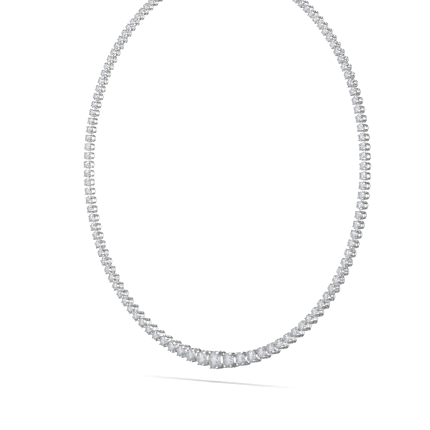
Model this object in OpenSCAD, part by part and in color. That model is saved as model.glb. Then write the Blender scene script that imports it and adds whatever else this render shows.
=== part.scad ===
// Riviere necklace: a closed ring of graduated claw-set brilliants, hanging upright with its stones facing -Y.
// Each link is a claw basket. A soldered loop on its far side passes round the next link's gallery rail.
// The origin is on the clasp's inner face, at the top of the ring, where the necklace hangs on the neck.

/* [Stones] */
// Diameter of the centre stone
centre_stone_d = 6.3; // [5.6:0.05:6.9]
// Diameter that the side stones settle to beyond the centre group
side_stone_d = 3.19; // [3.05:0.02:3.45]
// How much smaller each side stone is than the one before it
side_taper = 0.0137; // [0.01:0.0001:0.015]
// Number of links over which the centre group falls away to the side size
centre_group = 3.7; // [3:0.1:5]
// How the centre group falls away: 1 is even, and less is steeper beside the centre stone
centre_fall = 0.8; // [0.7:0.05:1]
// Links on each side of the centre link
links_a_side = 60; // [40:1:60]
// Links on each side of the centre link that are parts of their own, the rest being strings
main_side = 9; // [4:1:12]
// Table width as a share of the stone's diameter
table_share = 0.57; // [0.5:0.01:0.65]
// Crown height as a share of the stone's diameter
crown_share = 0.15; // [0.12:0.005:0.17]
// Pavilion depth as a share of the stone's diameter
pavilion_share = 0.43; // [0.4:0.005:0.44]
// Girdle thickness as a share of the stone's diameter
girdle_share = 0.03; // [0.02:0.005:0.05]

/* [Baskets] */
// Space between the girdles of the stones at the centre
centre_gap = 0.9; // [0.8:0.05:1]
// Space between the girdles of the stones at the clasp
end_gap = 0.4; // [0.38:0.01:0.5]
// Height of the centre basket, from its back to the girdle
centre_basket_h = 4.1; // [3.8:0.05:4.6]
// Height of the last basket, from its back to the girdle
end_basket_h = 2.95; // [2.85:0.05:3.2]
// Width of the centre link's claws
centre_claw_w = 1; // [0.8:0.02:1.1]
// Width of the last link's claws
end_claw_w = 0.5; // [0.4:0.02:0.56]
// How far the centre link's claws stand outside the girdle
centre_claw_out = 0.44; // [0.36:0.02:0.5]
// How far the last link's claws stand outside the girdle
end_claw_out = 0.26; // [0.22:0.02:0.32]
// Angle of each claw from the line between the stone and the ring's middle
claw_turn = 35; // [30:1:45]
// How far the claws' inner faces lie inside the girdle
claw_in = 0.15; // [0.12:0.01:0.18]
// Height of the centre link's base ring, at the back
centre_base_h = 1.5; // [1.2:0.05:1.6]
// Height of the last link's base ring
end_base_h = 0.75; // [0.6:0.05:0.75]
// Width of the base ring's wall
base_w = 0.42; // [0.36:0.02:0.48]
// How far the centre link's base ring stands outside the girdle
centre_base_out = 0.2; // [0.1:0.02:0.26]
// How far the last link's base ring stands outside the girdle
end_base_out = 0.02; // [0:0.02:0.08]
// Thickness of the pierced plate across the back of the base ring
plate_t = 0.35; // [0.3:0.05:0.5]
// Radius of the opening in the centre link's back plate
centre_hole_r = 1.3; // [0.9:0.1:1.8]
// Radius of the opening in the last link's back plate
end_hole_r = 0.35; // [0.3:0.05:0.6]
// Clearance between a stone and its seat
seat_gap = 0.03; // [0.02:0.01:0.04]

/* [Joints between links] */
// Width of the gallery rail's wall, which the next loop runs on
rail_w = 0.3; // [0.26:0.01:0.32]
// Height of the centre link's gallery rail
centre_rail_h = 0.75; // [0.6:0.05:0.8]
// Height of the last link's gallery rail
end_rail_h = 0.6; // [0.5:0.02:0.62]
// How far the centre link's gallery rail stands outside the girdle
centre_rail_out = 0.22; // [0.16:0.02:0.24]
// How far the last link's gallery rail stands outside the girdle
end_rail_out = 0.05; // [0.03:0.01:0.08]
// Height of the gallery rail's middle above the back, on the centre link
centre_rail_up = 2.7; // [2.4:0.05:2.75]
// Height of the gallery rail's middle above the back, on the last link
end_rail_up = 1.65; // [1.5:0.05:1.7]
// Thickness of a connecting loop's strap
loop_wire = 0.26; // [0.22:0.01:0.28]
// Width of the strap at the centre link
centre_loop_w = 0.5; // [0.3:0.05:0.6]
// Width of the strap at the last link and the clasp
end_loop_w = 0.32; // [0.26:0.01:0.34]

/* [Clasp] */
// Whole length that the clasp takes up in the ring
clasp_l = 13.6; // [12:0.2:20]
// Diameter of the barrel
barrel_d = 2.4; // [2:0.1:2.4]
// Length of the barrel
barrel_l = 8; // [6:0.2:8.6]
// Length of the cone at each end of the barrel
barrel_cone = 0.9; // [0.5:0.1:1.2]
// Radius of the eye that holds the last link's loop, at the middle of its wire
eye_r = 0.62; // [0.55:0.01:0.7]
// Thickness of the eye's wire
eye_wire = 0.32; // [0.28:0.01:0.34]
// Thickness of the neck between the barrel and its eye or loop
neck_d = 0.6; // [0.5:0.02:0.7]

/* [Hidden] */
// Mains round a stone, and half the angle from one to the next
facets = 8;
half_step = 180 / facets;
// Sides of a turned shape where it is drawn as a mesh
smooth = 36;

function side_name(k) = k == 0 ? "centre" : k > 0 ? str("right_", k) : str("left_", -k);
function setting_name(k) = str("setting_", side_name(k));
function stone_name(k) = str("stone_", side_name(k));

// Graduation: stone diameter, then every other size, between the centre link's and the last link's
function group_share(k) = exp(-pow(abs(k) / centre_group, centre_fall));
function stone_d(k) = side_stone_d - side_taper * abs(k) + (centre_stone_d - side_stone_d) * group_share(k);
function graded(k, centre, end) =
    end + (centre - end) * (stone_d(k) - stone_d(links_a_side)) / (stone_d(0) - stone_d(links_a_side));
function gap(k) = graded(k, centre_gap, end_gap);
function girdle_r(k) = stone_d(k) / 2;
function basket_h(k) = graded(k, centre_basket_h, end_basket_h);
function claw_w(k) = graded(k, centre_claw_w, end_claw_w);
function claw_out(k) = graded(k, centre_claw_out, end_claw_out);
function claw_over(k) = claw_w(k) / 2;
function claw_tip(k) = claw_w(k) / 3;
function base_h(k) = graded(k, centre_base_h, end_base_h);
function base_out(k) = graded(k, centre_base_out, end_base_out);
function hole_r(k) = graded(k, centre_hole_r, end_hole_r);
function rail_h(k) = graded(k, centre_rail_h, end_rail_h);
function rail_out(k) = graded(k, centre_rail_out, end_rail_out);
function rail_up(k) = graded(k, centre_rail_up, end_rail_up);
function loop_w(k) = graded(k, centre_loop_w, end_loop_w);
// Radius of the gallery rail at the middle of its wall
function rail_r(k) = girdle_r(k) + rail_out(k) - rail_w / 2;
function crown_h(k) = crown_share * stone_d(k);
function pavilion_h(k) = pavilion_share * stone_d(k);
function girdle_h(k) = girdle_share * stone_d(k);
// Points of the star facets: how far from the stone's axis, and how high above the girdle
function table_r(k) = table_share * girdle_r(k);
function star_r(k) = (girdle_r(k) + table_r(k) * cos(half_step)) / 2;
function star_h(k) = crown_h(k) * (girdle_r(k) - star_r(k) * cos(half_step)) / (girdle_r(k) - table_r(k));

// Places along the ring, measured round it from the centre link, positive towards +X
function pitch(k) = stone_d(k) + gap(k);
function spacing(k) = (pitch(k) + pitch(k + 1)) / 2;
arcs = [for (k = 0, s = 0; k <= links_a_side; s = s + spacing(k), k = k + 1) s];
function arc(k) = sign(k) * arcs[abs(k)];
half_ring = arcs[links_a_side] + pitch(links_a_side) / 2 + clasp_l / 2;
ring_r = half_ring / PI;
function turn(a) = a / ring_r * 180 / PI;
function sag(span) = ring_r * (1 - cos(turn(span) / 2));
// Space between two like links' rails, from the middle of one wall to the middle of the other
function wall_gap(k) = pitch(k) - 2 * rail_r(k);
// A connecting loop's radius is that space, so that it is soldered to one rail and runs round the next
function loop_r(k) = (wall_gap(k) + wall_gap(k + 1)) / 2;

// The clasp: its eye stands where a link's rail would, and its neck lies on the chord between its two ends
end_loop_r = wall_gap(links_a_side);
eye_pitch = 2 * eye_r + end_loop_r;
eye_arc = arcs[links_a_side] + (pitch(links_a_side) + eye_pitch) / 2;
clasp_end_x = ring_r * sin(turn(half_ring - eye_arc));
eye_neck_l = clasp_end_x - eye_r;
loop_neck_l = clasp_end_x + (pitch(links_a_side) + eye_pitch) / 2 - rail_r(links_a_side) - end_loop_r;
clasp_in = sag(2 * (half_ring - eye_arc));
clasp_mid_h = end_rail_up;
ring_z = -(ring_r - clasp_in - barrel_d / 2);
back_y = clasp_mid_h;

module at_arc(a) {
    translate([0, back_y, ring_z])
        rotate([0, -turn(a), 0])
            translate([0, 0, -ring_r])
                rotate([90, 0, 0])
                    children();
}

// A flat ring: wall wide, from z0 to z1
module band(outer_r, wall, z0, z1) {
    rotate_extrude($fn = smooth)
        translate([outer_r - wall, z0])
            square([wall, z1 - z0]);
}

// One claw's outline from the side: up from the base ring, over the stone's edge, and back along its seat
module claw_outline(k) {
    r = girdle_r(k);
    z = basket_h(k);
    low = z - girdle_h(k) / 2 - seat_gap;
    top = z + girdle_h(k) / 2 + seat_gap;
    edge = top + claw_over(k) * star_h(k) / (r - star_r(k));
    polygon([
        [r - claw_in, base_h(k) / 2],
        [r + base_out(k), base_h(k) / 2],
        [r + claw_out(k), low],
        [r + claw_out(k), edge],
        [r + claw_out(k) / 2, edge + claw_tip(k)],
        [r - claw_over(k), edge],
        [r + seat_gap, top],
        [r + seat_gap, low],
        [r - claw_in, low - (claw_in + seat_gap) * pavilion_h(k) / r]
    ]);
}

module claws(k) {
    across = 2 * (claw_w(k) + stone_d(k));
    intersection() {
        rotate_extrude($fn = smooth)
            claw_outline(k);
        linear_extrude(2 * basket_h(k))
            for (side = [-1, 1])
                rotate(90 + side * claw_turn)
                    square([across, claw_w(k)], center = true);
    }
}

// The base ring with its pierced back plate
module base(k) {
    outer = girdle_r(k) + base_out(k);
    rotate_extrude($fn = smooth)
        polygon([
            [hole_r(k), 0],
            [outer, 0],
            [outer, base_h(k)],
            [outer - base_w, base_h(k)],
            [outer - base_w, plate_t],
            [hole_r(k), plate_t]
        ]);
}

module basket(k) {
    claws(k);
    band(rail_r(k) + rail_w / 2, rail_w, rail_up(k) - rail_h(k) / 2, rail_up(k) + rail_h(k) / 2);
    base(k);
}

// A loop round the rail or eye at the far end of a span, soldered to what stands at the near end
module connecting_loop(near_arc, far_arc, far_r, far_up, r, w) {
    span = far_arc - near_arc;
    at_arc((near_arc + far_arc) / 2)
        translate([ring_r * sin(turn(span) / 2) - far_r, sag(span), far_up])
            rotate([90, 0, 0])
                band(r + loop_wire / 2, loop_wire, -w / 2, w / 2);
}

module setting(k) {
    last = k == links_a_side;
    color("silver") {
        at_arc(arc(k)) basket(k);
        if (last) connecting_loop(arc(k), eye_arc, eye_r, clasp_mid_h, end_loop_r, loop_w(k));
        else connecting_loop(arc(k), arc(k + 1), rail_r(k + 1), rail_up(k + 1), loop_r(k), loop_w(k));
    }
}

function ring_points(r, z, n, start) = [for (i = [0:n - 1]) [r * cos(start + i * 360 / n), r * sin(start + i * 360 / n), z]];
function next(i, n) = (i + 1) % n;
function before(i, n) = (i + n - 1) % n;
// A facet's corners run clockwise when seen from outside the stone
table_face = [[for (i = [facets - 1:-1:0]) i]];
function wall_faces(upper, lower, n) = [for (i = [0:n - 1]) [upper + i, upper + next(i, n), lower + next(i, n), lower + i]];

// A round brilliant: table, stars, kites and upper halves, then girdle, lower halves and mains
function brilliant_points(k) =
    let (
        r = girdle_r(k),
        top = basket_h(k) + girdle_h(k) / 2,
        low = basket_h(k) - girdle_h(k) / 2,
        half_r = lower_half_share * r,
        half_z = low - pavilion_h(k) * (1 - half_r * cos(half_step) / r)
    )
    concat(
        ring_points(table_r(k), top + crown_h(k), facets, 0),
        ring_points(star_r(k), top + star_h(k), facets, half_step),
        ring_points(r, top, 2 * facets, 0),
        ring_points(r, low, 2 * facets, 0),
        ring_points(half_r, half_z, facets, half_step),
        [[0, 0, low - pavilion_h(k)]]
    );
// How far from the culet the lower halves stop, as a share of the girdle's radius
lower_half_share = 0.24;
star0 = facets;
top0 = 2 * facets;
low0 = 4 * facets;
half0 = 6 * facets;
culet = 7 * facets;
brilliant_faces = concat(
    table_face,
    [for (i = [0:facets - 1]) [i, next(i, facets), star0 + i]],
    [for (i = [0:facets - 1]) [i, star0 + i, top0 + 2 * i, star0 + before(i, facets)]],
    [for (i = [0:facets - 1]) [star0 + i, top0 + 2 * i + 1, top0 + 2 * i]],
    [for (i = [0:facets - 1]) [star0 + i, top0 + next(2 * i + 1, 2 * facets), top0 + 2 * i + 1]],
    wall_faces(top0, low0, 2 * facets),
    [for (i = [0:facets - 1]) [half0 + i, low0 + 2 * i, low0 + 2 * i + 1]],
    [for (i = [0:facets - 1]) [half0 + i, low0 + 2 * i + 1, low0 + next(2 * i + 1, 2 * facets)]],
    [for (i = [0:facets - 1]) [culet, half0 + before(i, facets), low0 + 2 * i, half0 + i]]
);

// A small stone's single cut: table, eight crown facets, girdle and eight pavilion facets
function single_cut_points(k) =
    let (
        r = girdle_r(k),
        top = basket_h(k) + girdle_h(k) / 2,
        low = basket_h(k) - girdle_h(k) / 2
    )
    concat(
        ring_points(table_r(k), top + crown_h(k), facets, 0),
        ring_points(r, top, facets, 0),
        ring_points(r, low, facets, 0),
        [[0, 0, low - pavilion_h(k)]]
    );
single_cut_faces = concat(
    table_face,
    wall_faces(0, facets, facets),
    wall_faces(facets, 2 * facets, facets),
    [for (i = [0:facets - 1]) [3 * facets, 2 * facets + i, 2 * facets + next(i, facets)]]
);

module stone(k) {
    main = abs(k) <= main_side;
    color("lavender")
        at_arc(arc(k))
            rotate(half_step)
                polyhedron(
                    points = main ? brilliant_points(k) : single_cut_points(k),
                    faces = main ? brilliant_faces : single_cut_faces,
                    convexity = 2
                );
}

// A plain barrel with a neck at each end: an eye towards the last link and a loop round the first one's rail
module clasp() {
    color("silver") {
        at_arc(half_ring)
            translate([0, clasp_in, clasp_mid_h])
                rotate([0, -90, 0])
                    rotate_extrude($fn = smooth)
                        polygon([
                            [0, -loop_neck_l],
                            [neck_d / 2, -loop_neck_l],
                            [neck_d / 2, -barrel_l / 2],
                            [barrel_d / 2, barrel_cone - barrel_l / 2],
                            [barrel_d / 2, barrel_l / 2 - barrel_cone],
                            [neck_d / 2, barrel_l / 2],
                            [neck_d / 2, eye_neck_l],
                            [0, eye_neck_l]
                        ]);
        at_arc(eye_arc)
            band(eye_r + eye_wire / 2, eye_wire, clasp_mid_h - eye_wire / 2, clasp_mid_h + eye_wire / 2);
        connecting_loop(-eye_arc, -arcs[links_a_side], rail_r(links_a_side), end_rail_up, end_loop_r, end_loop_w);
    }
}

module settings_side(side) {
    for (i = [main_side + 1:links_a_side]) setting(side * i);
}

module stones_side(side) {
    for (i = [main_side + 1:links_a_side]) stone(side * i);
}

for (k = [-main_side:main_side]) {
    setting(k);
    stone(k);
}
settings_side(-1);  // settings_left
settings_side(1);  // settings_right
stones_side(-1);  // stones_left
stones_side(1);  // stones_right
clasp();
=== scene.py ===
import math
import bpy
from mathutils import Matrix, Vector


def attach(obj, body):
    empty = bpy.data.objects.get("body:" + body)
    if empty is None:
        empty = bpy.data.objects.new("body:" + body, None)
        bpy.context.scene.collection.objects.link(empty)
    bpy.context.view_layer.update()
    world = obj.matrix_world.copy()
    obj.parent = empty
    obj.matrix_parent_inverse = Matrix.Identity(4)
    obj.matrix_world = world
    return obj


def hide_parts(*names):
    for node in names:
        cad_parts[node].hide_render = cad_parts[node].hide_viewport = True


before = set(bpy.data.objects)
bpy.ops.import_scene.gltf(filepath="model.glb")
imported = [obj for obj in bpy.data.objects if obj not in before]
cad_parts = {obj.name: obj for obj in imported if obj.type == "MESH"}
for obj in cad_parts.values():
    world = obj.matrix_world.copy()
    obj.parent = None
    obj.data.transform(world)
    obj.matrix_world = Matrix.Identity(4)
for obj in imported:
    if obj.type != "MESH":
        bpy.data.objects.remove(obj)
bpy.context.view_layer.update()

mm = 0.001  # everything is drawn in millimetres and brought to metres when it is put in its place
print("frame loaded:", len(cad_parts), "nodes")

# The necklace's driving sizes in millimetres, as the solids have them.
# A pair is the size on the centre link and on the last link before the clasp.
necklace = {
    "linksASide": 60,
    "mainSide": 9,  # links on each side of the centre one that are pieces of their own
    "centreStone": 6.3,
    "sideStone": 3.19,
    "sideTaper": 0.0137,
    "centreGroup": 3.7,
    "centreFall": 0.8,
    "gap": (0.9, 0.4),
}
clasp = {
    "length": 13.6,
    "barrelWidth": 2.4,
    "barrelLength": 8.0,
    "cone": 0.9,
    "eyeRadius": 0.62,
    "eyeWire": 0.32,
    "neck": 0.6,
    "height": 1.65,
    "rimWidth": 0.34,
    "rimDepth": 0.1,
    "bevel": 0.12,
    "shoulder": 0.62,  # the flat of its ends, as a share of its width
    "steps": 36,
    "smoothUnder": 35,  # degrees
    "eyeSteps": 24,
    "wireCorners": 10,
}
basket = {
    "height": (4.1, 2.95),  # from the back to the girdle
    "clawWidth": (1.0, 0.5),
    "clawOut": (0.44, 0.26),
    "clawIn": 0.15,
    "clawFoot": 0.06,  # how far the claw's foot lies inside the base ring's outer face
    "clawTurn": 35,  # degrees from the line between the stone and the ring's middle
    "clawSides": 8,
    "railUp": (2.7, 1.65),
    "railHeight": (0.75, 0.6),
    "railOut": (0.22, 0.05),
    "railWall": 0.3,
    "baseHeight": (1.5, 0.75),
    "baseOut": (0.2, 0.02),
    "baseWall": 0.42,
    "baseEdge": 0.08,  # how much is taken off the base ring's sharp edges
    "bandEdge": 0.07,  # and off the rail's and the loop's
    "plate": 0.35,
    "backRound": 0.38,  # rounding of the base ring's back edge, which the solids leave sharp
    "hole": (1.3, 0.35),  # radius of the opening in the back plate
    "seatGap": 0.03,
    "loopWire": 0.26,
    "loopWidth": (0.5, 0.32),
    "loopSteps": 18,
    "steps": 24,  # sides of the rail and of the base ring
    "smoothUnder": 40,  # degrees
}


def stoneWidth(k):
    group = math.exp(-((abs(k) / necklace["centreGroup"]) ** necklace["centreFall"]))
    side = necklace["sideStone"] - necklace["sideTaper"] * abs(k)
    return side + (necklace["centreStone"] - necklace["sideStone"]) * group


def share(k):  # 1 on the centre link, 0 on the last one
    last = stoneWidth(necklace["linksASide"])
    return (stoneWidth(k) - last) / (stoneWidth(0) - last)


def graded(pair, part):
    return pair[1] + (pair[0] - pair[1]) * part


def gap(k):
    return graded(necklace["gap"], share(k))


def pitch(k):
    return stoneWidth(k) + gap(k)


def railRadius(k):  # at the middle of the rail's wall
    return stoneWidth(k) / 2 + graded(basket["railOut"], share(k)) - basket["railWall"] / 2


def railUp(k):
    return graded(basket["railUp"], share(k))


def wallGap(k):  # between two like links' rails, from the middle of one wall to the middle of the other
    return pitch(k) - 2 * railRadius(k)


# Places along the ring, measured round it from the centre link
arcs = [0.0]
for k in range(necklace["linksASide"]):
    arcs.append(arcs[-1] + (pitch(k) + pitch(k + 1)) / 2)
lastLink = necklace["linksASide"]
halfRing = arcs[lastLink] + pitch(lastLink) / 2 + clasp["length"] / 2
ringRadius = halfRing / math.pi
eyePitch = 2 * clasp["eyeRadius"] + wallGap(lastLink)
eyeArc = arcs[lastLink] + (pitch(lastLink) + eyePitch) / 2
claspIn = ringRadius * (1 - math.cos((halfRing - eyeArc) / ringRadius))
ringZ = -(ringRadius - claspIn - clasp["barrelWidth"] / 2)


def arc(k):
    return math.copysign(arcs[abs(k)], k)


def atArc(along):  # where a link sits: its back towards +Y, its stone towards -Y
    return (
        Matrix.Scale(mm, 4)
        @ Matrix.Translation((0, clasp["height"], ringZ))
        @ Matrix.Rotation(-along / ringRadius, 4, "Y")
        @ Matrix.Translation((0, 0, -ringRadius))
        @ Matrix.Rotation(math.radians(90), 4, "X")
    )


def loopPlace(near, far, farRadius, farHeight):  # round the far link's rail, towards the near link
    half = (far - near) / 2 / ringRadius
    across = ringRadius * math.sin(half) - farRadius
    inwards = ringRadius * (1 - math.cos(half))
    return (
        atArc((near + far) / 2)
        @ Matrix.Translation((across, inwards, farHeight))
        @ Matrix.Rotation(math.radians(90), 4, "X")
    )


# Modelling by hand

mergeWithin = 0.002  # points closer than this are one
origin = (0, 0, 0)


def pick(piece):
    bpy.ops.object.select_all(action="DESELECT")
    piece.select_set(True)
    bpy.context.view_layer.objects.active = piece


def startEdit(piece):
    pick(piece)
    bpy.ops.object.mode_set(mode="EDIT")
    bpy.ops.mesh.select_all(action="SELECT")


def endEdit():
    bpy.ops.object.mode_set(mode="OBJECT")
    bpy.ops.object.select_all(action="DESELECT")


def drawOutline(name, points):  # a chain of edges through the points, left selected in edit mode
    bpy.ops.object.select_all(action="DESELECT")
    bpy.ops.mesh.primitive_plane_add(size=1)
    piece = bpy.context.object
    piece.name = name
    startEdit(piece)
    bpy.ops.mesh.merge(type="CENTER")
    bpy.ops.transform.translate(value=points[0])
    for before, after in zip(points, points[1:]):
        step = Vector(after) - Vector(before)
        bpy.ops.mesh.extrude_vertices_move(TRANSFORM_OT_translate={"value": step})
    bpy.ops.mesh.select_all(action="SELECT")
    return piece


def closeShell():
    bpy.ops.mesh.select_all(action="SELECT")
    bpy.ops.mesh.remove_doubles(threshold=mergeWithin)
    bpy.ops.mesh.normals_make_consistent(inside=False)
    endEdit()


def turnOutline(name, profile, steps, closed):  # profile: radius and height of each corner
    piece = drawOutline(name, [(radius, 0, height) for radius, height in profile])
    if closed:
        bpy.ops.mesh.edge_face_add()
        bpy.ops.mesh.delete(type="ONLY_FACE")
        bpy.ops.mesh.select_all(action="SELECT")
    bpy.ops.mesh.spin(steps=steps, angle=math.tau, center=origin, axis=(0, 0, 1))
    closeShell()
    return piece


def wireProfile(radius, height, wire, corners):  # a round wire's section
    points = []
    for i in range(corners):
        turn = math.tau * (i + 0.5) / corners
        points.append((radius + wire / 2 * math.cos(turn), height + wire / 2 * math.sin(turn)))
    return points


def bandProfile(outer, wall, low, high, edge):  # a flat band's section with its edges rounded off
    return [
        (outer - edge, low), (outer, low + edge), (outer, high - edge), (outer - edge, high),
        (outer - wall + edge, high), (outer - wall, high - edge), (outer - wall, low + edge),
        (outer - wall + edge, low),
    ]


def platedProfile(outer, wall, high, hole, plate, edge, back):  # a base ring's section, its plate at the foot
    rounding = []
    for degrees in (0, 30, 60, 90):
        turn = math.radians(degrees)
        rounding.append((outer - back * (1 - math.sin(turn)), back * (1 - math.cos(turn))))
    return rounding + [
        (outer, high - edge), (outer - edge, high),
        (outer - wall + edge, high), (outer - wall, high - edge), (outer - wall, plate), (hole + edge, plate),
        (hole, plate - edge), (hole, edge), (hole + edge, 0),
    ]


def join(pieces, name):
    bpy.ops.object.select_all(action="DESELECT")
    for piece in pieces:
        piece.select_set(True)
    bpy.context.view_layer.objects.active = pieces[0]
    if len(pieces) > 1:
        bpy.ops.object.join()
    pieces[0].name = name
    pieces[0].data.name = name
    bpy.ops.object.select_all(action="DESELECT")
    return pieces[0]


# Stone: a round brilliant, cut from a sixteen-sided blank one facet at a time

stoneCut = {  # shares of the stone's own diameter
    "facets": 8,
    "table": 0.57,
    "crown": 0.15,
    "pavilion": 0.43,
    "girdle": 0.03,
    "lowerHalf": 0.24,  # how far from the culet the lower halves stop, as a share of the radius
}
halfStep = math.pi / stoneCut["facets"]
starRadius = (1 + stoneCut["table"] * math.cos(halfStep)) / 2  # of the star facets' points
starRise = 2 * stoneCut["crown"] * (1 - starRadius * math.cos(halfStep)) / (1 - stoneCut["table"])
blankDepth = 4  # deeper than the whole stone, on a radius of 1
cutAccuracy = 0.0001


def cutFacet(points):  # the plane through three points, away from the stone's middle
    a, b, c = (Vector(p) for p in points)
    normal = (b - a).cross(c - a).normalized()
    if normal.dot(a) < 0:
        normal = -normal
    bpy.ops.mesh.select_all(action="SELECT")
    bpy.ops.mesh.bisect(plane_co=a, plane_no=normal, use_fill=True, clear_outer=True, threshold=cutAccuracy)


def onStone(radius, turn, height):
    return (radius * math.cos(turn), radius * math.sin(turn), height)


def cutBrilliant():
    facets = stoneCut["facets"]
    table = stoneCut["table"]
    crown = 2 * stoneCut["crown"]
    pavilion = 2 * stoneCut["pavilion"]
    girdle = stoneCut["girdle"]  # half its thickness, on a radius of 1
    starHeight = girdle + starRise
    lowRadius = stoneCut["lowerHalf"]
    lowHeight = -girdle - pavilion * (1 - lowRadius * math.cos(halfStep))
    bpy.ops.object.select_all(action="DESELECT")
    bpy.ops.mesh.primitive_cylinder_add(vertices=2 * facets, radius=1, depth=blankDepth)
    stone = bpy.context.object
    startEdit(stone)
    bpy.ops.mesh.bisect(plane_co=(0, 0, girdle + crown), plane_no=(0, 0, 1), use_fill=True, clear_outer=True)
    for i in range(facets):
        main = (2 * i + 1) * halfStep
        cutFacet([onStone(1, main, girdle), onStone(table, main, girdle + crown),
                  onStone(starRadius, main + halfStep, starHeight)])
        cutFacet([onStone(1, main, -girdle), onStone(0, main, -girdle - pavilion),
                  onStone(lowRadius, main + halfStep, lowHeight)])
    for i in range(facets):
        star = 2 * i * halfStep
        cutFacet([onStone(starRadius, star, starHeight), onStone(table, star - halfStep, girdle + crown),
                  onStone(table, star + halfStep, girdle + crown)])
        for side in (-1, 1):
            cutFacet([onStone(starRadius, star, starHeight), onStone(1, star, girdle),
                      onStone(1, star + side * halfStep, girdle)])
            cutFacet([onStone(lowRadius, star, lowHeight), onStone(1, star, -girdle),
                      onStone(1, star + side * halfStep, -girdle)])
    closeShell()
    return stone


# Setting: a claw basket, modelled once at the centre's sizes and once at the end's, in the same steps

def turnSelection(angle, axis, centre):
    bpy.ops.transform.rotate(value=angle, orient_axis=axis, orient_type="GLOBAL", center_override=centre)


def growClaw(sections):  # each section: inner radius and height, outer radius and height, width
    halfCorner = math.pi / basket["clawSides"]
    bpy.ops.object.select_all(action="DESELECT")
    bpy.ops.mesh.primitive_circle_add(
        vertices=basket["clawSides"], radius=0.5 / math.cos(halfCorner), fill_type="NGON"
    )
    claw = bpy.context.object
    startEdit(claw)
    turnSelection(halfCorner, "Z", origin)
    middle = Vector(origin)
    size = Vector((1, 1, 1))
    lean = 0
    for i, (innerR, innerH, outerR, outerH, width) in enumerate(sections):
        newMiddle = Vector(((innerR + outerR) / 2, 0, (innerH + outerH) / 2))
        newSize = Vector((math.hypot(outerR - innerR, outerH - innerH), width, 1))
        newLean = math.atan2(outerH - innerH, outerR - innerR)
        step = newMiddle - middle
        if i:
            bpy.ops.mesh.extrude_region_move(TRANSFORM_OT_translate={"value": step})
        else:
            bpy.ops.transform.translate(value=step)
        ratio = (newSize.x / size.x, newSize.y / size.y, 1)
        turnSelection(-lean, "Y", newMiddle)  # laid flat, brought to its size, and leant over again
        bpy.ops.transform.resize(value=ratio, orient_type="GLOBAL", center_override=newMiddle)
        turnSelection(newLean, "Y", newMiddle)
        middle, size, lean = newMiddle, newSize, newLean
    bpy.ops.mesh.select_all(action="SELECT")
    bpy.ops.mesh.normals_make_consistent(inside=False)
    endEdit()
    return claw


def clawSections(sizes):  # from the foot up over the girdle to the tip on the crown
    r = sizes["girdleR"]
    w = sizes["clawWidth"]
    out = sizes["clawOut"]
    over = w / 2
    tip = w / 3
    halfGirdle = stoneCut["girdle"] * r
    low = sizes["height"] - halfGirdle - basket["seatGap"]
    top = sizes["height"] + halfGirdle + basket["seatGap"]
    rise = sizes["starSlope"]
    inner = r - basket["clawIn"]
    clear = r + basket["seatGap"]
    foot = r + sizes["baseOut"]
    base = sizes["baseHeight"]
    rail = sizes["railUp"]
    edge = top + over * rise
    return [
        (inner, base / 2, foot - basket["clawFoot"], base / 2, 0.9 * w),
        (inner, rail, foot + 0.6 * (r + out - foot), rail, 0.94 * w),
        (inner, low - 0.62 * w, r + 0.92 * out, low - 0.5 * w, 0.95 * w),
        (inner + 0.5 * basket["clawIn"], low - 0.16 * w, r + out, low - 0.1 * w, w),
        (clear, low, r + out, low + 0.1 * w, w),
        (clear, top, r + 0.97 * out, edge, w),
        (r - 0.3 * over, top + 0.42 * over * rise, r + 0.74 * out, edge + 0.6 * tip, 0.98 * w),
        (r - 0.62 * over, top + 0.74 * over * rise, r + 0.36 * out, edge + 0.92 * tip, 0.9 * w),
        (r - 0.86 * over, top + 0.96 * over * rise, r - 0.3 * over, edge + 0.96 * tip, 0.72 * w),
        (r - 0.98 * over, edge + 0.1 * tip, r - 0.72 * over, edge + 0.66 * tip, 0.42 * w),
    ]


def makeBasket(name, part):
    gradedSizes = (
        "height", "clawWidth", "clawOut", "baseHeight", "baseOut", "hole", "railHeight", "railOut", "railUp",
    )
    sizes = {word: graded(basket[word], part) for word in gradedSizes}
    sizes["girdleR"] = (stoneWidth(lastLink) + (stoneWidth(0) - stoneWidth(lastLink)) * part) / 2
    sizes["starSlope"] = starRise / (1 - starRadius)
    claw = growClaw(clawSections(sizes))
    startEdit(claw)
    turn = 90 - basket["clawTurn"]
    for i, step in enumerate((turn, 180 - 2 * turn, 2 * turn, 180 - 2 * turn)):
        if i:
            bpy.ops.mesh.duplicate()
        turnSelection(math.radians(-step), "Z", origin)
    endEdit()
    r = sizes["girdleR"]
    half = sizes["railHeight"] / 2
    middle = sizes["railUp"]
    railProfile = bandProfile(
        r + sizes["railOut"], basket["railWall"], middle - half, middle + half, basket["bandEdge"]
    )
    baseProfile = platedProfile(
        r + sizes["baseOut"], basket["baseWall"], sizes["baseHeight"], sizes["hole"],
        basket["plate"], basket["baseEdge"], basket["backRound"],
    )
    rail = turnOutline(name + "Rail", railProfile, basket["steps"], True)
    base = turnOutline(name + "Base", baseProfile, basket["steps"], True)
    return join([claw, rail, base], name)


def makeLoop(name, radius, width):
    wire = basket["loopWire"]
    profile = bandProfile(radius + wire / 2, wire, -width / 2, width / 2, basket["bandEdge"])
    return turnOutline(name, profile, basket["loopSteps"], True)


def mixedCopy(endShape, centreShape, part, name):  # part: 0 is the end's shape and 1 the centre's
    copy = endShape.copy()
    copy.data = endShape.data.copy()
    copy.name = name
    bpy.context.scene.collection.objects.link(copy)
    for vertex, other in zip(copy.data.vertices, centreShape.data.vertices):
        vertex.co = vertex.co.lerp(other.co, part)
    return copy


def placed(piece, matrix):
    piece.data.transform(matrix)
    return piece


def smooth(piece, angle):
    pick(piece)
    bpy.ops.object.shade_smooth_by_angle(angle=math.radians(angle))
    bpy.ops.object.select_all(action="DESELECT")


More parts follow.
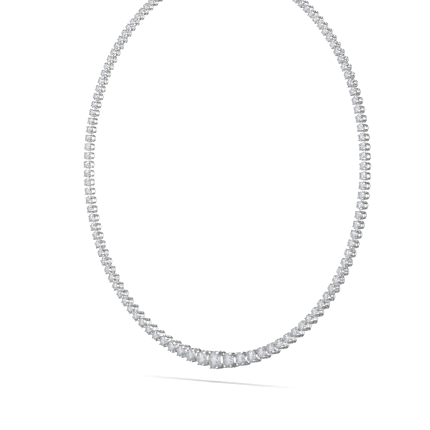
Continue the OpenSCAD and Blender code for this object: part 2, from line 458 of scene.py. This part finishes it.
brilliant = cutBrilliant()
print("stone cut:", len(brilliant.data.polygons), "faces")
endBasket = makeBasket("endBasket", 0)
centreBasket = makeBasket("centreBasket", 1)
endLoop = makeLoop("endLoop", wallGap(lastLink), basket["loopWidth"][1])
centreLoop = makeLoop("centreLoop", wallGap(0), basket["loopWidth"][0])
print("basket modelled:", len(endBasket.data.polygons), len(centreBasket.data.polygons), "faces")


def makeSetting(k):
    pieces = [placed(mixedCopy(endBasket, centreBasket, share(k), "basket"), atArc(arc(k)))]
    if k == lastLink:
        place = loopPlace(arc(k), eyeArc, clasp["eyeRadius"], clasp["height"])
        part = 0
    else:
        place = loopPlace(arc(k), arc(k + 1), railRadius(k + 1), railUp(k + 1))
        part = (share(k) + share(k + 1)) / 2
    pieces.append(placed(mixedCopy(endLoop, centreLoop, part, "loop"), place))
    return pieces


def makeStone(k):
    copy = brilliant.copy()
    copy.data = brilliant.data.copy()
    bpy.context.scene.collection.objects.link(copy)
    height = graded(basket["height"], share(k))
    lift = Matrix.Translation((0, 0, height)) @ Matrix.Scale(stoneWidth(k) / 2, 4)
    return placed(copy, atArc(arc(k)) @ lift)


# Materials

def newMaterial(name):
    material = bpy.data.materials.new(name)
    material.use_nodes = True
    nodes = material.node_tree.nodes
    nodes.clear()
    out = nodes.new("ShaderNodeOutputMaterial")
    shader = nodes.new("ShaderNodeBsdfPrincipled")
    material.node_tree.links.new(shader.outputs["BSDF"], out.inputs["Surface"])
    return material, nodes, material.node_tree.links, shader


def tintRamp(nodes, places, low, high):
    ramp = nodes.new("ShaderNodeValToRGB")
    for stop, place, colour in zip(ramp.color_ramp.elements, places, (low, high)):
        stop.position = place
        stop.color = colour
    return ramp


polish = {
    "light": (0.9, 0.9, 0.895, 1),
    "shade": (0.82, 0.82, 0.815, 1),
    "between": (0.3, 0.62),  # where the clouds turn from shade to light
    "roughness": (0.14, 0.26),
    "grain": 700,  # per metre of the piece
    "grainDetail": 4,
    "scratches": 0.06,
    "scratchGrain": 4200,
    "scratchDetail": 3,
    "scratchDepth": 0.0001,  # metres
}


def makeMetal():
    material, nodes, links, shader = newMaterial("whiteMetal")
    place = nodes.new("ShaderNodeTexCoord")
    cloud = nodes.new("ShaderNodeTexNoise")
    cloud.inputs["Scale"].default_value = polish["grain"]
    cloud.inputs["Detail"].default_value = polish["grainDetail"]
    links.new(place.outputs["Object"], cloud.inputs["Vector"])
    tint = tintRamp(nodes, polish["between"], polish["shade"], polish["light"])
    links.new(cloud.outputs["Fac"], tint.inputs["Fac"])
    links.new(tint.outputs["Color"], shader.inputs["Base Color"])
    gloss = nodes.new("ShaderNodeMapRange")
    gloss.inputs["To Min"].default_value = polish["roughness"][0]
    gloss.inputs["To Max"].default_value = polish["roughness"][1]
    links.new(cloud.outputs["Fac"], gloss.inputs["Value"])
    links.new(gloss.outputs["Result"], shader.inputs["Roughness"])
    fine = nodes.new("ShaderNodeTexNoise")
    fine.inputs["Scale"].default_value = polish["scratchGrain"]
    fine.inputs["Detail"].default_value = polish["scratchDetail"]
    links.new(place.outputs["Object"], fine.inputs["Vector"])
    bump = nodes.new("ShaderNodeBump")
    bump.inputs["Strength"].default_value = polish["scratches"]
    bump.inputs["Distance"].default_value = polish["scratchDepth"]
    links.new(fine.outputs["Fac"], bump.inputs["Height"])
    links.new(bump.outputs["Normal"], shader.inputs["Normal"])
    shader.inputs["Metallic"].default_value = 1
    return material


gem = {
    "clear": (0.97, 0.98, 1.0, 1),
    "deep": (0.58, 0.63, 0.76, 1),  # painted shade: darker cells painted into the stone's colour, standing in for facets that mirror dark surroundings
    "between": (0.25, 0.5),  # where the cells turn from the painted shade to the clear colour
    "paintedFlashes": 1500,  # cells of painted facet shade, per metre of the piece
    "ior": 2.42,
    "roughness": 0.24,
}


def makeGem():
    material, nodes, links, shader = newMaterial("cutStone")
    place = nodes.new("ShaderNodeTexCoord")
    # painted shade: random cells darken the stone's colour like facets mirroring dark surroundings
    paintedFlash = nodes.new("ShaderNodeTexVoronoi")
    paintedFlash.inputs["Scale"].default_value = gem["paintedFlashes"]
    links.new(place.outputs["Object"], paintedFlash.inputs["Vector"])
    tint = tintRamp(nodes, gem["between"], gem["deep"], gem["clear"])
    links.new(paintedFlash.outputs["Color"], tint.inputs["Fac"])
    links.new(tint.outputs["Color"], shader.inputs["Base Color"])
    shader.inputs["IOR"].default_value = gem["ior"]
    shader.inputs["Roughness"].default_value = gem["roughness"]
    shader.inputs["Transmission Weight"].default_value = 1
    return material


metal = makeMetal()
cutGlass = makeGem()


def finishPiece(piece, nodes, material):
    piece.data.materials.clear()
    piece.data.materials.append(material)
    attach(piece, "root")
    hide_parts(*nodes)


def sideName(k):
    if k == 0:
        return "centre"
    return ("right_" if k > 0 else "left_") + str(abs(k))


mainSide = necklace["mainSide"]
for k in range(-mainSide, mainSide + 1):
    setting = join(makeSetting(k), "basket_" + sideName(k))
    smooth(setting, basket["smoothUnder"])
    finishPiece(setting, ["setting_" + sideName(k)], metal)
    stone = join([makeStone(k)], "brilliant_" + sideName(k))
    finishPiece(stone, ["stone_" + sideName(k)], cutGlass)
print("main links placed")

for side, word in ((-1, "left"), (1, "right")):
    furtherLinks = range(mainSide + 1, lastLink + 1)
    settings = join([piece for i in furtherLinks for piece in makeSetting(side * i)], "baskets_" + word)
    smooth(settings, basket["smoothUnder"])
    finishPiece(settings, ["settings_" + word], metal)
    stones = join([makeStone(side * i) for i in furtherLinks], "brilliants_" + word)
    finishPiece(stones, ["stones_" + word], cutGlass)
print("strings placed")


def makeClasp():
    half = clasp["barrelLength"] / 2
    wide = clasp["barrelWidth"] / 2
    neck = clasp["neck"] / 2
    rim = clasp["rimWidth"]
    deep = clasp["rimDepth"]
    bevel = clasp["bevel"]
    shoulder = clasp["shoulder"] * wide
    endX = ringRadius * math.sin((halfRing - eyeArc) / ringRadius)
    eyeNeck = endX - clasp["eyeRadius"]
    loopRadius = wallGap(lastLink)
    loopNeck = endX + (pitch(lastLink) + eyePitch) / 2 - railRadius(lastLink) - loopRadius
    straight = half - clasp["cone"]
    profile = [
        (0, -loopNeck), (neck, -loopNeck), (neck, -half), (shoulder, bevel - half),
        (wide - deep, -straight - rim / 2), (wide, rim / 2 - straight), (wide, rim - straight),
        (wide - deep, rim + bevel - straight), (wide - deep, straight - rim - bevel), (wide, straight - rim),
        (wide, straight - rim / 2), (wide - deep, straight + rim / 2), (shoulder, half - bevel),
        (neck, half), (neck, eyeNeck), (0, eyeNeck),
    ]
    barrel = turnOutline("barrel", profile, clasp["steps"], False)
    lift = Matrix.Translation((0, claspIn, clasp["height"]))
    placed(barrel, atArc(halfRing) @ lift @ Matrix.Rotation(math.radians(-90), 4, "Y"))
    wire = wireProfile(clasp["eyeRadius"], clasp["height"], clasp["eyeWire"], clasp["wireCorners"])
    eye = turnOutline("eye", wire, clasp["eyeSteps"], True)
    placed(eye, atArc(eyeArc))
    loop = mixedCopy(endLoop, centreLoop, 0, "claspLoop")
    placed(loop, loopPlace(-eyeArc, -arcs[lastLink], railRadius(lastLink), railUp(lastLink)))
    return join([barrel, eye, loop], "barrel_clasp")


claspPiece = makeClasp()
smooth(claspPiece, clasp["smoothUnder"])
finishPiece(claspPiece, ["clasp"], metal)
for master in (brilliant, endBasket, centreBasket, endLoop, centreLoop):
    bpy.data.objects.remove(master)
print("clasp placed")

# Floor, light and camera

studio = {
    "floorHeight": -0.1445,
    "floorSize": 400.0,
    "floorColour": (0.67, 0.67, 0.67, 1),
    "floorRoughness": 0.9,
    "boxes": (  # name, place and watts
        ("leftBox", (-0.7, -1.0, 0.5), 3),
        ("rightBox", (1.2, -0.2, 0.4), 2),
    ),
    "boxSize": 0.6,
    "boxAim": (0, 0, -0.07),
    "overheadStrength": 2.5,
    "overheadAngle": 45,  # how wide it is in the sky, in degrees
}
bpy.ops.mesh.primitive_plane_add(size=studio["floorSize"], location=(0, 0, studio["floorHeight"]))
floor = bpy.context.object
floor.name = "floor"
floorMaterial, _, _, floorShader = newMaterial("paleFloor")
floorShader.inputs["Base Color"].default_value = studio["floorColour"]
floorShader.inputs["Roughness"].default_value = studio["floorRoughness"]
floor.data.materials.append(floorMaterial)
floor.visible_glossy = False  # the metal mirrors the sky below instead

sky = {
    "brightest": 1.5,
    "stops": (  # how high the light comes from, as the sine of the angle, and how bright it is
        (-1.0, 0.18), (-0.56, 0.18), (-0.42, 1.36), (0.42, 1.36),
        (0.56, 0.16), (0.73, 0.16), (0.83, 1.5), (1.0, 1.5),
    ),
}
backdrop = {  # behind the necklace the mirrored sky is dark, while the camera sees it white
    "towards": (-0.05, 0.999, 0),
    "edge": (0.77, 0.83),  # cosine of the angle from its middle
    "part": 0.06,  # of the brightness left there
    "seen": (1, 1, 1, 1),
    "seenStrength": 1.1,
}


def makeWorld():
    world = bpy.data.worlds.new("studioLight")
    bpy.context.scene.world = world
    world.use_nodes = True
    nodes = world.node_tree.nodes
    links = world.node_tree.links
    nodes.clear()
    out = nodes.new("ShaderNodeOutputWorld")
    light = nodes.new("ShaderNodeBackground")
    place = nodes.new("ShaderNodeTexCoord")
    split = nodes.new("ShaderNodeSeparateXYZ")
    height = nodes.new("ShaderNodeMapRange")
    height.inputs["From Min"].default_value = -1
    ramp = nodes.new("ShaderNodeValToRGB")
    stops = ramp.color_ramp.elements
    for i, (sine, bright) in enumerate(sky["stops"]):
        position = (sine + 1) / 2
        stop = stops[i] if i < 2 else stops.new(position)  # a ramp starts with two stops
        stop.position = position
        part = bright / sky["brightest"]
        stop.color = (part, part, part, 1)
    behind = nodes.new("ShaderNodeMapRange")
    behind.inputs["From Min"].default_value = backdrop["edge"][0]
    behind.inputs["From Max"].default_value = backdrop["edge"][1]
    behind.inputs["To Min"].default_value = sky["brightest"]
    behind.inputs["To Max"].default_value = sky["brightest"] * backdrop["part"]
    plain = nodes.new("ShaderNodeBackground")
    plain.inputs["Color"].default_value = backdrop["seen"]
    plain.inputs["Strength"].default_value = backdrop["seenStrength"]
    stand = nodes.new("ShaderNodeVectorMath")
    stand.operation = "DOT_PRODUCT"
    stand.inputs[1].default_value = backdrop["towards"]
    ray = nodes.new("ShaderNodeLightPath")
    choose = nodes.new("ShaderNodeMixShader")
    links.new(place.outputs["Generated"], split.inputs["Vector"])
    links.new(split.outputs["Z"], height.inputs["Value"])
    links.new(height.outputs["Result"], ramp.inputs["Fac"])
    links.new(place.outputs["Generated"], stand.inputs[0])
    links.new(stand.outputs["Value"], behind.inputs["Value"])
    links.new(ramp.outputs["Color"], light.inputs["Color"])
    links.new(behind.outputs["Result"], light.inputs["Strength"])
    links.new(ray.outputs["Is Camera Ray"], choose.inputs["Fac"])
    links.new(light.outputs["Background"], choose.inputs[1])
    links.new(plain.outputs["Background"], choose.inputs[2])
    links.new(choose.outputs["Shader"], out.inputs["Surface"])


makeWorld()


def softbox(name, place, power):
    bpy.ops.object.light_add(type="AREA", location=place)
    lamp = bpy.context.object
    lamp.name = name
    lamp.data.shape = "DISK"
    lamp.data.size = studio["boxSize"]
    lamp.data.energy = power
    lamp.rotation_euler = (Vector(studio["boxAim"]) - Vector(place)).to_track_quat("-Z", "Y").to_euler()


def overheadLight():  # lights the floor from above, without being mirrored in the metal
    bpy.ops.object.light_add(type="SUN", location=(0, 0, 1))
    lamp = bpy.context.object
    lamp.name = "overhead"
    lamp.data.energy = studio["overheadStrength"]
    lamp.data.angle = math.radians(studio["overheadAngle"])
    lamp.visible_glossy = False
    lamp.visible_transmission = False


for name, place, power in studio["boxes"]:
    softbox(name, place, power)
overheadLight()

view = {  # read from the photograph's vanishing and from the links' places in it
    "azimuth": 44.787,
    "elevation": 1.086,
    "roll": 0.316,
    "distance": 0.98753,
    "focalPixels": 2771.6,
    "imageWidth": 430,
    "sensor": 36,
    "aside": -0.00192,  # from the ring's middle to the view's middle
    "up": -0.01736,
    "farthest": 1000,
}


def placeCamera():
    azimuth = math.radians(view["azimuth"])
    elevation = math.radians(view["elevation"])
    level = math.cos(elevation)
    back = Vector((math.sin(azimuth) * level, -math.cos(azimuth) * level, math.sin(elevation)))
    right = Vector((math.cos(azimuth), math.sin(azimuth), 0))
    up = back.cross(right)
    roll = math.radians(view["roll"])
    rightRolled = math.cos(roll) * right + math.sin(roll) * up
    upRolled = math.cos(roll) * up - math.sin(roll) * right
    aim = Vector((0, 0, ringZ * mm)) + view["aside"] * rightRolled + view["up"] * upRolled
    turn = Matrix((rightRolled, upRolled, back)).transposed()
    bpy.ops.object.camera_add(location=aim + back * view["distance"], rotation=turn.to_euler())
    camera = bpy.context.object
    camera.data.sensor_width = view["sensor"]
    camera.data.lens = view["focalPixels"] / view["imageWidth"] * view["sensor"]
    camera.data.clip_end = view["farthest"]
    bpy.context.scene.camera = camera


placeCamera()
bpy.context.scene.view_settings.view_transform = "Standard"
print("studio ready")
